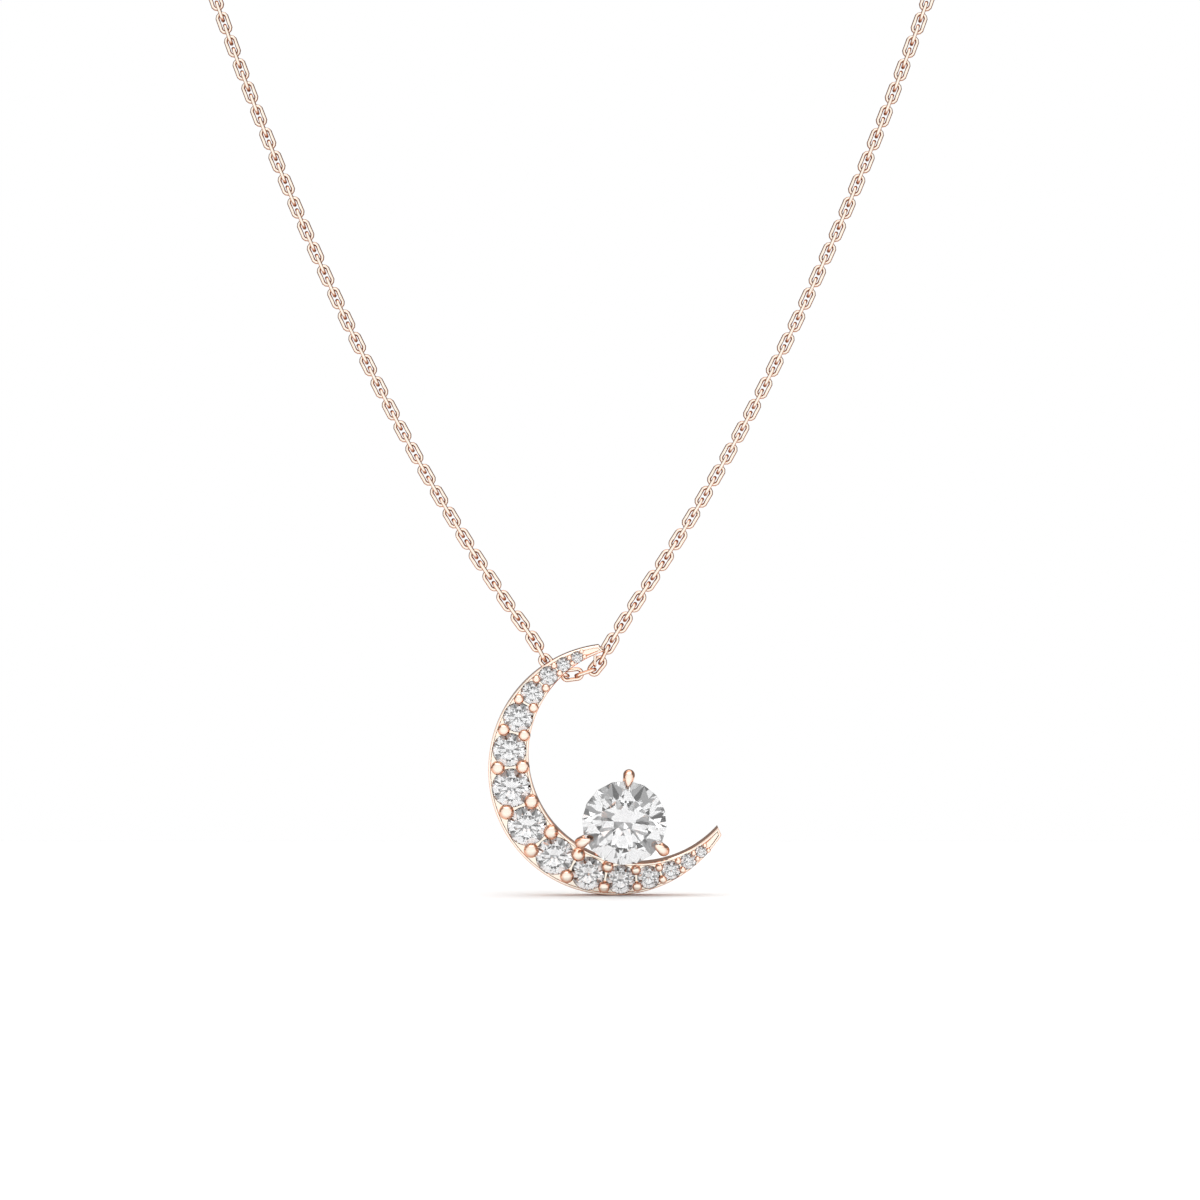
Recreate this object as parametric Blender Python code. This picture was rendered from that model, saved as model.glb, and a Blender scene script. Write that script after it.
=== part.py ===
# Crescent pendant necklace, modelled as it hangs on a neck.
# Metres, +Z up.  X runs across the chest, -Y is the side the pendant faces.
# The origin is the middle of the two places where the chain leaves the sides of the neck.

import math

import bmesh
import bpy
from mathutils import Matrix, Vector

MM = 0.001

# ---- chain ----
CHAIN_LENGTH = 457.0 * MM       # the closed loop, clasp included
FRONT_REACH = 140.0 * MM        # each strand, from the middle of the V to the side of the neck
CATENARY_SCALE = 37.5 * MM      # horizontal pull over the chain's weight for each metre
PENDANT_LOAD = 45.7 * MM        # half the pendant's pull, as a length of chain
NAPE_RISE = 22.0 * MM           # the nape sits this much above the sides of the neck
NAPE_LIFT = 24.0 * MM           # how far the chain keeps climbing before it turns back
NAPE_WIDTH = 33.0 * MM          # how far it runs level on each side of the nape's middle
LINK_LENGTH = 1.81 * MM
LINK_WIDTH = 1.06 * MM
LINK_WIRE = 0.31 * MM
LINK_PITCH = 1.04 * MM          # between the links that carry the pendant
ROD_DIAMETER = 0.60 * MM        # a solid rod with the metal section of the linked chain
ROD_STEP = 6.0 * MM
TOUCH_GAP = 0.04 * MM           # left between pieces that touch or are soldered

# ---- crescent ----
OUTER_RADIUS = 9.61 * MM
INNER_RADIUS = 8.32 * MM
INNER_SHIFT = 2.12 * MM
HORN_AXIS = 33.1                # degrees, the way the crescent opens
UPPER_TIP = 97.1                # degrees round the outer circle
LOWER_TIP = 328.6
TIP_LEAD = 1.7                  # degrees by which the inner corners run on past the outer ones
CRESCENT_THICKNESS = 1.70 * MM
CRESCENT_CHAMFER = 0.08 * MM

# ---- row of stones ----
ROW_CENTRE = (0.875 * MM, 0.515 * MM)
ROW_RADIUS = 8.92 * MM
ROW_START = 114.6               # degrees
STONE_SIZES = [size * MM for size in
               (0.90, 1.10, 1.45, 1.75, 2.25, 2.55, 2.95, 3.00,
                2.90, 2.55, 2.20, 1.75, 1.45, 1.20, 0.90)]
STONE_GAP = 0.17 * MM
GIRDLE_DEPTH = 0.12 * MM        # the stones' edge lies this far under the crescent's face
SEAT_CLEARANCE = 0.025 * MM
WINDOW_SHARE = 0.24             # half width of the opening behind a stone, over its diameter
WINDOW_FROM = 2.0 * MM          # smaller stones sit in blind seats
BEAD_SHARE = 0.33               # bead diameter over the mean of its two stones
BEAD_REACH = 0.42               # how far a bead's centre stands off each stone, in bead diameters
END_BEAD_ANGLE = 24.0           # degrees off the row, of the pair past each end
BEAD_STAND = 0.03 * MM          # a bead's centre stands this far in front of the face

# ---- cut of a round brilliant, as shares of its diameter ----
TABLE_SHARE = 0.56
CROWN_ANGLE = 34.5
PAVILION_ANGLE = 40.8
GIRDLE_SHARE = 0.025
STAR_LENGTH = 0.50
LOWER_HALF_LENGTH = 0.77
STONE_TURN = 17.0               # degrees, how every stone is turned in its seat

# ---- centre stone and its martini head ----
SOLITAIRE = 6.45 * MM
SOLITAIRE_CENTRE = (0.75 * MM, -3.91 * MM)
CULET_INSET = 0.0356 * MM       # its point stays this far inside the crescent's back
PRONG_ANGLES = {"top": 84.5, "left": 204.5, "right": 325.0}
PRONG_DIAMETER = 0.88 * MM
PRONG_FOOT_DIAMETER = 0.62 * MM
BASE_RING_WIRE = 0.55 * MM
BASE_RING_RADIUS = 1.02 * MM    # middle of the ring's wire
BRIDGE_DIAMETER = 0.75 * MM
BRIDGE_ANGLES = {"left": 236.0, "right": 285.0}

# ---- how the pendant hangs ----
PENDANT_CENTRE = (3.24 * MM, -7.02 * MM)   # crescent's centre from the lowest link, x and z
BAIL_PLACE = (-1.19 * MM, 0.47 * MM)       # chain in the bail, from the lowest link
TIP_LOOP_PLACE = (1.80 * MM, 1.13 * MM)    # wire held by the tip loop, from the lowest link
PENDANT_TILT = 4.0              # degrees, the top leans forward
BAIL_WIRE = 0.24 * MM
BAIL_CLEARANCE = 0.07 * MM      # between a link's edge and the bail
TIP_LOOP_WIRE = 0.20 * MM
TIP_LOOP_RADIUS = 0.36 * MM
TIP_LOOP_FEET = 0.38 * MM       # between the middles of its two soldered ends

# ---- lobster clasp, its rings and the tag ----
CLASP_HOOK_RADIUS = 2.30 * MM
CLASP_HOOK_X = -2.30 * MM
CLASP_EYE_RADIUS = 0.95 * MM
CLASP_EYE_X = 3.90 * MM
CLASP_THICKNESS = 1.80 * MM
CLASP_EYE_THICKNESS = 0.90 * MM
CLASP_WALL = 1.10 * MM
CLASP_NECK_X = 0.20 * MM
PLAY = 0.06 * MM                # running clearance on each side of a moving clasp part
TRIGGER_THICKNESS = 0.70 * MM
TRIGGER_PIVOT = (1.55 * MM, 0.55 * MM)
PIN_DIAMETER = 0.50 * MM
SPRING_WIRE = 0.16 * MM
CLASP_RING_RADIUS = 1.15 * MM
CLASP_RING_WIRE = 0.40 * MM
CATCH_RING_RADIUS = 1.60 * MM
CATCH_RING_WIRE = 0.45 * MM
TAG_LENGTH = 6.0 * MM
TAG_WIDTH = 2.6 * MM
TAG_THICKNESS = 0.40 * MM
TAG_ANGLE = 142.0               # degrees round the catch ring, where the tag hangs

MERGE = 1e-7
ROSE_GOLD = (0.86, 0.50, 0.36)
STEEL = (0.60, 0.60, 0.62)
DIAMOND = (0.92, 0.93, 0.95)


# ------------------------------------------------------------------ scene and helpers

for old in list(bpy.data.objects):
    bpy.data.objects.remove(old)

parts = bpy.data.collections.new("pendant_necklace")
cutters = bpy.data.collections.new("cutters")
bpy.context.scene.collection.children.link(parts)
bpy.context.scene.collection.children.link(cutters)


def material(name, colour, roughness, metallic):
    made = bpy.data.materials.new(name)
    made.use_nodes = True
    shader = made.node_tree.nodes["Principled BSDF"]
    shader.inputs["Base Color"].default_value = (*colour, 1.0)
    shader.inputs["Roughness"].default_value = roughness
    shader.inputs["Metallic"].default_value = metallic
    return made


def new_object(name, mesh, collection=parts):
    made = bpy.data.objects.new(name, mesh)
    collection.objects.link(made)
    return made


def finish(name, mesh, colour, roughness, metallic, sharp_degrees=35.0):
    # A part: its own material, smooth where it is round.
    made = new_object(name, mesh)
    mesh.materials.append(material(name, colour, roughness, metallic))
    mesh.shade_smooth()
    mesh.set_sharp_from_angle(angle=math.radians(sharp_degrees))
    return made


def pivot(name, place, parent=None):
    empty = bpy.data.objects.new(name, None)
    empty.location = place
    empty.parent = parent
    empty.empty_display_size = 2.0 * MM
    parts.objects.link(empty)
    return empty


def mesh_from(bm, name):
    bmesh.ops.recalc_face_normals(bm, faces=bm.faces)
    mesh = bpy.data.meshes.new(name)
    bm.to_mesh(mesh)
    bm.free()
    return mesh


def evaluated_mesh(source, name):
    # A plain, welded mesh of what an object's modifiers or curve make; the source is removed.
    bpy.context.view_layer.update()
    depsgraph = bpy.context.evaluated_depsgraph_get()
    mesh = bpy.data.meshes.new_from_object(source.evaluated_get(depsgraph))
    bpy.data.objects.remove(source)
    bm = bmesh.new()
    bm.from_mesh(mesh)
    bmesh.ops.remove_doubles(bm, verts=bm.verts, dist=MERGE)
    return mesh_from(bm, name)


def wire_mesh(name, points, diameter, radii=None, closed=False):
    # A round wire along 3D points, with filled ends.
    curve = bpy.data.curves.new(name, "CURVE")
    curve.dimensions = "3D"
    curve.bevel_depth = diameter / 2.0
    curve.bevel_resolution = 2
    curve.use_fill_caps = not closed
    spline = curve.splines.new("POLY")
    spline.points.add(len(points) - 1)
    for index, point in enumerate(points):
        spline.points[index].co = (*point, 1.0)
        spline.points[index].radius = radii[index] if radii else 1.0
    spline.use_cyclic_u = closed
    return evaluated_mesh(new_object(name, curve), name)


def plate_mesh(name, outline, thickness, chamfer=0.0, holes=()):
    # A flat plate in X and Z from closed outlines, its faces at y = 0 and y = thickness.
    curve = bpy.data.curves.new(name, "CURVE")
    curve.dimensions = "2D"
    curve.fill_mode = "BOTH"
    curve.extrude = thickness / 2.0 - chamfer
    curve.bevel_depth = chamfer
    curve.bevel_resolution = 0
    curve.offset = -chamfer
    for loop in (outline, *holes):
        spline = curve.splines.new("POLY")
        spline.points.add(len(loop) - 1)
        for index, (x, z) in enumerate(loop):
            spline.points[index].co = (x, z, 0.0, 1.0)
        spline.use_cyclic_u = True
    mesh = evaluated_mesh(new_object(name, curve), name)
    mesh.transform(Matrix.Translation((0.0, thickness / 2.0, 0.0)) @ Matrix.Rotation(math.radians(90.0), 4, "X"))
    return mesh


def turned_mesh(name, profile, sides):
    # A solid turned about Y from (radius, y) points that start and end on the axis.
    bm = bmesh.new()
    verts = [bm.verts.new((radius, y, 0.0)) for radius, y in profile]
    edges = [bm.edges.new(pair) for pair in zip(verts, verts[1:])]
    bmesh.ops.spin(bm, geom=verts + edges, cent=(0.0, 0.0, 0.0), axis=(0.0, 1.0, 0.0),
                   angle=2.0 * math.pi, steps=sides, use_duplicate=False)
    bmesh.ops.remove_doubles(bm, verts=bm.verts, dist=MERGE)
    return mesh_from(bm, name)


def ring_mesh(name, radius, wire, normal, steps=20):
    # A closed round ring about the origin.
    turn = Vector((0.0, 0.0, 1.0)).rotation_difference(Vector(normal)).to_matrix()
    points = [turn @ Vector((radius * math.cos(a), radius * math.sin(a), 0.0))
              for a in (2.0 * math.pi * step / steps for step in range(steps))]
    return wire_mesh(name, points, wire, closed=True)


def cut(target, cutter, operation="DIFFERENCE"):
    cutter.hide_render = True
    cutter.display_type = "WIRE"
    boolean = target.modifiers.new(cutter.name, "BOOLEAN")
    boolean.operation = operation
    boolean.solver = "EXACT"
    boolean.object = cutter
    boolean.use_self = True


def joined(name, meshes_and_places):
    # Several solids in one mesh.
    bm = bmesh.new()
    for mesh, place in meshes_and_places:
        piece = bmesh.new()
        piece.from_mesh(mesh)
        bmesh.ops.transform(piece, matrix=Matrix.Translation(place), verts=piece.verts)
        copy = bpy.data.meshes.new(name)
        piece.to_mesh(copy)
        piece.free()
        bm.from_mesh(copy)
    mesh = bpy.data.meshes.new(name)
    bm.to_mesh(mesh)
    bm.free()
    return mesh


def on_circle(radius, degrees, centre=(0.0, 0.0)):
    angle = math.radians(degrees)
    return Vector((centre[0] + radius * math.cos(angle), centre[1] + radius * math.sin(angle)))


def arc(radius, first, last, steps, centre=(0.0, 0.0)):
    return [on_circle(radius, first + (last - first) * step / steps, centre) for step in range(steps + 1)]


def circle(radius, steps, centre=(0.0, 0.0)):
    return arc(radius, 0.0, 360.0 * (steps - 1) / steps, steps - 1, centre)


def capsule(x_a, radius_a, x_b, radius_b, steps, z=0.0):
    # The outline round two circles on one level line, circle a at lower x.
    lean = math.degrees(math.asin((radius_a - radius_b) / (x_b - x_a)))
    left = arc(radius_a, 90.0 - lean, 270.0 + lean, steps, (x_a, z))
    right = arc(radius_b, 270.0 + lean, 450.0 - lean, steps, (x_b, z))
    return left + right


# ------------------------------------------------------------------ the chain's line

def strand_point(reach):
    # A strand of the V in the front plane, from the V's middle: the catenary of a loaded chain.
    pulled = reach + PENDANT_LOAD
    x = CATENARY_SCALE * (math.asinh(pulled / CATENARY_SCALE) - math.asinh(PENDANT_LOAD / CATENARY_SCALE))
    z = math.hypot(CATENARY_SCALE, pulled) - math.hypot(CATENARY_SCALE, FRONT_REACH + PENDANT_LOAD)
    return Vector((x, 0.0, z))


APEX_DROP = -strand_point(0.0).z                 # neck side down to where the strands would meet
LOWEST_LINK = Vector((0.0, 0.0, 0.96 * MM - APEX_DROP))

# The chain between the strands, right half then left half, from the lowest link outwards.
RIGHT_RUN = [(0.05, 0.10), (1.00, 0.24), (1.96, 0.75), (3.02, 2.58)]
LEFT_RUN = [(0.05, 0.10), (-0.88, 0.30), (-1.85, 1.00), (-2.91, 2.76)]


def nape_points(depth, side, steps=14):
    # From the side of the neck round to the middle of the nape.
    start = strand_point(FRONT_REACH)
    climb = (start - strand_point(FRONT_REACH - MM)).normalized()
    corners = [start, start + climb * NAPE_LIFT, Vector((NAPE_WIDTH, depth, NAPE_RISE)),
               Vector((0.0, depth, NAPE_RISE))]
    points = []
    for step in range(1, steps + 1):
        t = step / steps
        weights = ((1 - t) ** 3, 3 * t * (1 - t) ** 2, 3 * t * t * (1 - t), t ** 3)
        point = sum((corner * weight for corner, weight in zip(corners, weights)), Vector())
        points.append(Vector((side * point.x, point.y, point.z)))
    return points


def through(knots, steps=12):
    # A smooth line through the knots, close to evenly spaced within each stretch.
    line = [knots[0]]
    for index in range(len(knots) - 1):
        before = knots[max(index - 1, 0)]
        a, b = knots[index], knots[index + 1]
        after = knots[min(index + 2, len(knots) - 1)]
        span = (b - a).length
        slope_a = (b - before) / max((a - before).length + span, MERGE) * span
        slope_b = (after - a) / max((after - b).length + span, MERGE) * span
        for step in range(1, steps + 1):
            t = step / steps
            line.append(a * (2 * t ** 3 - 3 * t ** 2 + 1) + slope_a * (t ** 3 - 2 * t ** 2 + t)
                        + b * (3 * t ** 2 - 2 * t ** 3) + slope_b * (t ** 3 - t ** 2))
    return line


def half_line(run, side, depth):
    near = [LOWEST_LINK + Vector((x * MM, 0.0, z * MM)) for x, z in run]
    count = round((FRONT_REACH / MM - 8.0) / 6.0)
    reaches = [8.0 * MM + (FRONT_REACH - 8.0 * MM) * step / count for step in range(count + 1)]
    strand = [strand_point(reach) for reach in reaches]
    strand = [Vector((side * point.x, 0.0, point.z)) for point in strand]
    return through(near + strand + nape_points(depth, side))


def line_length(line):
    return sum((b - a).length for a, b in zip(line, line[1:]))


def nape_depth():
    # The depth that gives the closed loop its length.
    low, high = 10.0 * MM, 150.0 * MM
    for _ in range(40):
        middle = (low + high) / 2.0
        total = line_length(half_line(RIGHT_RUN, 1, middle)) + line_length(half_line(LEFT_RUN, -1, middle))
        if total < CHAIN_LENGTH:
            low = middle
        else:
            high = middle
    return (low + high) / 2.0


NAPE_DEPTH = nape_depth()
RIGHT_LINE = half_line(RIGHT_RUN, 1, NAPE_DEPTH)
LEFT_LINE = half_line(LEFT_RUN, -1, NAPE_DEPTH)
NAPE_MIDDLE = Vector((0.0, NAPE_DEPTH, NAPE_RISE))


def along(line, distance):
    # The point and the direction at a distance along a line.
    left = distance
    for a, b in zip(line, line[1:]):
        step = (b - a).length
        if left <= step:
            return a.lerp(b, left / step), (b - a).normalized()
        left -= step
    return line[-1], (line[-1] - line[-2]).normalized()


def reach_of_height(line, height):
    # How far along a line the chain first gets above a height.
    total = 0.0
    for a, b in zip(line, line[1:]):
        if b.z > height:
            return total + (b - a).length * (height - a.z) / (b.z - a.z)
        total += (b - a).length
    return total


def reach_of_ring(line, centre, clear):
    # How far along a line a rod's flat end comes this near the middle of a ring.
    total, before = 0.0, None
    for a, b in zip(line, line[1:]):
        way = (b - a).normalized()
        ahead = (centre - b).dot(way)
        across = (centre - b - way * ahead).length
        now = math.hypot(ahead, max(0.0, across - ROD_DIAMETER / 2.0))
        if now < clear:
            return total + (b - a).length * (before - clear) / (before - now)
        total += (b - a).length
        before = now
    return total


def chain_rod(name, line, start, end, parent):
    count = max(2, round((end - start) / ROD_STEP))
    points = [along(line, start + (end - start) * step / count)[0] for step in range(count + 1)]
    rod = finish(name, wire_mesh(name, points, ROD_DIAMETER), ROSE_GOLD, 0.18, 1.0)
    rod.parent = parent
    return rod


def link_mesh(name):
    # One oval link, long in X, wide in Z.
    half = LINK_LENGTH / 2.0 - LINK_WIDTH / 2.0
    bend = (LINK_WIDTH - LINK_WIRE) / 2.0
    outline = arc(bend, -90.0, 90.0, 5, (half, 0.0)) + arc(bend, 90.0, 270.0, 5, (-half, 0.0))
    return wire_mesh(name, [(x, 0.0, z) for x, z in outline], LINK_WIRE, closed=True)


front_pivot = pivot("front_pivot", (0.0, 0.0, 0.0))

# Real links where the chain carries the pendant: 0 is the lowest, the odd ones stand edge on.
LINK_NAMES = {-2: "link_left_flat", -1: "link_in_bail", 0: "link_lowest", 1: "link_right_edge",
              2: "link_in_tip_loop", 3: "link_right_last"}
for number, link_name in LINK_NAMES.items():
    place, way = along(RIGHT_LINE if number >= 0 else LEFT_LINE, abs(number) * LINK_PITCH)
    if number < 0:
        way = -way
    link = finish(link_name, link_mesh(link_name), ROSE_GOLD, 0.18, 1.0)
    turn = Matrix.Rotation(math.atan2(-way.z, way.x), 4, "Y")
    if number % 2:
        turn = turn @ Matrix.Rotation(math.radians(90.0), 4, "X")
    link.matrix_world = Matrix.Translation(place) @ turn
    link.parent = front_pivot

rod_clear = LINK_LENGTH / 2.0 + TOUCH_GAP
neck_right = reach_of_height(RIGHT_LINE, 0.0)
neck_left = reach_of_height(LEFT_LINE, 0.0)
hinge_gap = 0.30 * MM
chain_rod("chain_front_right", RIGHT_LINE, 3 * LINK_PITCH + rod_clear, neck_right - hinge_gap / 2.0, front_pivot)
chain_rod("chain_front_left", LEFT_LINE, 2 * LINK_PITCH + rod_clear, neck_left - hinge_gap / 2.0, front_pivot)

clasp_ring_x = CLASP_EYE_X + CLASP_RING_RADIUS
hook_inside = CLASP_HOOK_X - CLASP_HOOK_RADIUS + CLASP_WALL
catch_ring_inside = CATCH_RING_RADIUS - CATCH_RING_WIRE / 2.0
catch_ring_x = hook_inside + TOUCH_GAP - math.sqrt(catch_ring_inside ** 2 - (CLASP_THICKNESS / 2.0) ** 2)
clasp_ring_middle = NAPE_MIDDLE + Vector((clasp_ring_x, 0.0, 0.0))
catch_ring_middle = NAPE_MIDDLE + Vector((catch_ring_x, 0.0, 0.0))
right_end = reach_of_ring(RIGHT_LINE, clasp_ring_middle, CLASP_RING_RADIUS + CLASP_RING_WIRE / 2.0 + TOUCH_GAP)
left_end = reach_of_ring(LEFT_LINE, catch_ring_middle, CATCH_RING_RADIUS + CATCH_RING_WIRE / 2.0 + TOUCH_GAP)
chain_rod("chain_nape_right", RIGHT_LINE, neck_right + hinge_gap / 2.0, right_end, None)
chain_rod("chain_nape_left", LEFT_LINE, neck_left + hinge_gap / 2.0, left_end, None)


# ------------------------------------------------------------------ the pendant's frame

# Pendant pieces are drawn about the crescent's centre, its face at y = 0, its back at
# y = CRESCENT_THICKNESS.  The pivot lies on the line from the bail to the tip loop.
bail_radius = LINK_WIDTH / 2.0 + BAIL_CLEARANCE + BAIL_WIRE / 2.0
bail_back = CRESCENT_THICKNESS + bail_radius
bail_drawn = Vector((BAIL_PLACE[0] - PENDANT_CENTRE[0], bail_back, BAIL_PLACE[1] - PENDANT_CENTRE[1]))
bail_world = LOWEST_LINK + Vector((BAIL_PLACE[0], 0.0, BAIL_PLACE[1]))
swing_axis = Vector((TIP_LOOP_PLACE[0] - BAIL_PLACE[0], 0.0, TIP_LOOP_PLACE[1] - BAIL_PLACE[1])).normalized()

pendant_pivot = pivot("pendant_pivot", bail_world, front_pivot)
pendant_pivot.rotation_mode = "QUATERNION"
pendant_pivot.rotation_quaternion = Matrix.Rotation(math.radians(PENDANT_TILT), 3, swing_axis).to_quaternion()


def on_pendant(made):
    made.parent = pendant_pivot
    made.location = -bail_drawn
    return made


# ------------------------------------------------------------------ stones

def brilliant_mesh(name, diameter):
    # A round brilliant about Y: table towards -Y, the middle of its girdle at y = 0.
    radius = diameter / 2.0
    crown = math.tan(math.radians(CROWN_ANGLE))
    pavilion = math.tan(math.radians(PAVILION_ANGLE))
    rim = GIRDLE_SHARE * diameter / 2.0
    table = TABLE_SHARE * diameter / 2.0 / math.cos(math.radians(22.5))
    slant = math.cos(math.radians(22.5))
    star = table * slant + STAR_LENGTH * (radius - table * slant)
    lower = radius * (1.0 - LOWER_HALF_LENGTH)
    bm = bmesh.new()

    def ring(count, offset, size, y):
        for step in range(count):
            angle = math.radians(offset + STONE_TURN) + 2.0 * math.pi * step / count
            bm.verts.new((size * math.cos(angle), y, size * math.sin(angle)))

    ring(8, 0.0, table, -rim - (radius - table) * crown)
    ring(8, 22.5, star, -rim - (radius - star * slant) * crown)
    ring(16, 0.0, radius, -rim)
    ring(16, 0.0, radius, rim)
    ring(8, 22.5, lower, rim + (radius - lower * slant) * pavilion)
    bm.verts.new((0.0, rim + radius * pavilion, 0.0))
    bmesh.ops.convex_hull(bm, input=bm.verts)
    return mesh_from(bm, name)


def stone_places():
    # Stones edge to edge along the row's arc, each a named gap from the last.
    places = []
    angle = ROW_START
    for index, size in enumerate(STONE_SIZES):
        if index:
            chord = (size + STONE_SIZES[index - 1]) / 2.0 + STONE_GAP
            angle += math.degrees(2.0 * math.asin(chord / 2.0 / ROW_RADIUS))
        places.append(on_circle(ROW_RADIUS, angle, ROW_CENTRE))
    return places


places = stone_places()
for index, (size, place) in enumerate(zip(STONE_SIZES, places)):
    stone_name = f"pave_stone_{index + 1:02d}"
    mesh = brilliant_mesh(stone_name, size)
    mesh.transform(Matrix.Translation((place.x, GIRDLE_DEPTH, place.y)))
    on_pendant(finish(stone_name, mesh, DIAMOND, 0.02, 0.0, 1.0))

# The stone stands forward by as much of its depth as the crescent has no room for.
SOLITAIRE_STANDOFF = (SOLITAIRE / 2.0 * (math.tan(math.radians(PAVILION_ANGLE)) + GIRDLE_SHARE)
                      - (CRESCENT_THICKNESS - CULET_INSET))
centre_mesh = brilliant_mesh("centre_stone", SOLITAIRE)
centre_mesh.transform(Matrix.Translation((SOLITAIRE_CENTRE[0], -SOLITAIRE_STANDOFF, SOLITAIRE_CENTRE[1])))
on_pendant(finish("centre_stone", centre_mesh, DIAMOND, 0.02, 0.0, 1.0))


# ------------------------------------------------------------------ crescent

def bead_places():
    # Two beads in each gap, where circles round the two stones cross, and one pair past each end.
    found = []
    for (size_a, a), (size_b, b) in zip(zip(STONE_SIZES, places), zip(STONE_SIZES[1:], places[1:])):
        bead = BEAD_SHARE * (size_a + size_b) / 2.0
        reach_a = size_a / 2.0 + BEAD_REACH * bead
        reach_b = size_b / 2.0 + BEAD_REACH * bead
        gap = (b - a).length
        forward = (gap ** 2 + reach_a ** 2 - reach_b ** 2) / (2.0 * gap)
        sideways = math.sqrt(reach_a ** 2 - forward ** 2)
        way = (b - a) / gap
        for side in (1.0, -1.0):
            found.append((a + way * forward + Vector((-way.y, way.x)) * sideways * side, bead))
    for stone, place, neighbour in ((STONE_SIZES[0], places[0], places[1]),
                                    (STONE_SIZES[-1], places[-1], places[-2])):
        bead = BEAD_SHARE * stone
        way = (place - neighbour).normalized()
        reach = stone / 2.0 + BEAD_REACH * bead
        for side in (1.0, -1.0):
            angle = math.radians(END_BEAD_ANGLE) * side
            turned = Vector((way.x * math.cos(angle) - way.y * math.sin(angle),
                             way.x * math.sin(angle) + way.y * math.cos(angle)))
            found.append((place + turned * reach, bead))
    return found


def crescent_outline():
    inner_centre = on_circle(INNER_SHIFT, HORN_AXIS)
    outer = arc(OUTER_RADIUS, UPPER_TIP, LOWER_TIP, 50)
    ends = []
    for tip, lead in ((outer[-1], TIP_LEAD), (outer[0], -TIP_LEAD)):
        # Square across from the outer corner, then on by the tip's lead.
        towards = tip - inner_centre
        ends.append((math.degrees(math.atan2(towards.y, towards.x)) + lead) % 360.0)
    inner = arc(INNER_RADIUS, ends[0], ends[1], 42, inner_centre)
    return outer + inner


def seat_profile(size):
    # The hole a stone sits in: open in front, a slope under the girdle, a window behind a large stone.
    rim = size / 2.0 + SEAT_CLEARANCE
    girdle = GIRDLE_DEPTH + GIRDLE_SHARE * size / 2.0 + SEAT_CLEARANCE
    if size < WINDOW_FROM:
        return [(0.0, -1.2 * MM), (rim, -1.2 * MM), (rim, girdle),
                (0.0, girdle + rim * math.tan(math.radians(PAVILION_ANGLE)))]
    window = size * WINDOW_SHARE
    depth = (rim - window) * math.tan(math.radians(PAVILION_ANGLE))
    far = CRESCENT_THICKNESS + 0.5 * MM
    if girdle + depth > CRESCENT_THICKNESS:
        window = rim - (CRESCENT_THICKNESS - girdle) / math.tan(math.radians(PAVILION_ANGLE))
        depth = CRESCENT_THICKNESS - girdle
    return [(0.0, -1.2 * MM), (rim, -1.2 * MM), (rim, girdle), (window, girdle + depth), (window, far), (0.0, far)]


crescent = finish("crescent_frame",
                  plate_mesh("crescent_frame", crescent_outline(), CRESCENT_THICKNESS, CRESCENT_CHAMFER),
                  ROSE_GOLD, 0.15, 1.0)
bead_meshes = []
for spot, bead in bead_places():
    ball = bmesh.new()
    bmesh.ops.create_uvsphere(ball, u_segments=8, v_segments=5, radius=bead / 2.0,
                              matrix=Matrix.Rotation(math.radians(90.0), 4, "X"))
    bead_meshes.append((mesh_from(ball, "bead"), (spot.x, -BEAD_STAND, spot.y)))
seat_meshes = [(turned_mesh("seat", seat_profile(size), 12), (place.x, 0.0, place.y))
               for size, place in zip(STONE_SIZES, places)]
cut(crescent, new_object("beads", joined("beads", bead_meshes), cutters), "UNION")
cut(crescent, new_object("seats", joined("seats", seat_meshes), cutters))
crescent_mesh = evaluated_mesh(crescent, "crescent_frame")
on_pendant(finish("crescent_frame", crescent_mesh, ROSE_GOLD, 0.15, 1.0))


# ------------------------------------------------------------------ martini head

head_axis = Vector((SOLITAIRE_CENTRE[0], 0.0, SOLITAIRE_CENTRE[1]))


def head_point(radius, degrees, y):
    angle = math.radians(degrees)
    return head_axis + Vector((radius * math.cos(angle), y, radius * math.sin(angle)))


def prong_mesh(name, degrees):
    # Runs along the stone's back from the base ring, up past the girdle and over the crown.
    half = PRONG_DIAMETER / 2.0
    slope = math.tan(math.radians(PAVILION_ANGLE))
    stand = (half + TOUCH_GAP) / math.sin(math.atan(slope))
    girdle_y = -SOLITAIRE_STANDOFF
    girdle_r = SOLITAIRE / 2.0
    column = girdle_r + half + TOUCH_GAP
    corner_y = girdle_y + (girdle_r + stand - column) * slope
    foot_r = BASE_RING_RADIUS + (BASE_RING_WIRE / 2.0 + TOUCH_GAP) * math.cos(math.radians(PAVILION_ANGLE))
    foot_y = girdle_y + (girdle_r + stand - foot_r) * slope
    tip = math.radians(CROWN_ANGLE)
    tip_half = 0.28 * MM
    tip_r = girdle_r - 0.12 * MM + (tip_half + TOUCH_GAP) * math.sin(tip)
    tip_y = girdle_y - GIRDLE_SHARE * SOLITAIRE / 2.0 - 0.12 * MM * math.tan(tip) \
        - (tip_half + TOUCH_GAP) * math.cos(tip)
    shoulder_y = girdle_y - 0.18 * MM
    route = [(foot_r, foot_y, PRONG_FOOT_DIAMETER / 2.0),
             ((foot_r + column) / 2.0, (foot_y + corner_y) / 2.0, half * 0.86),
             (column - 0.10 * MM, corner_y + 0.10 * MM * slope, half * 0.97),
             (column, corner_y - 0.15 * MM, half),
             (column, shoulder_y, half),
             (column * 0.6 + tip_r * 0.4, shoulder_y * 0.45 + tip_y * 0.55 - 0.06 * MM, half * 0.90),
             (tip_r, tip_y, tip_half)]
    points = [head_point(radius, degrees, y) for radius, y, _ in route]
    return wire_mesh(name, points, PRONG_DIAMETER, [size / half for _, _, size in route])


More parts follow.
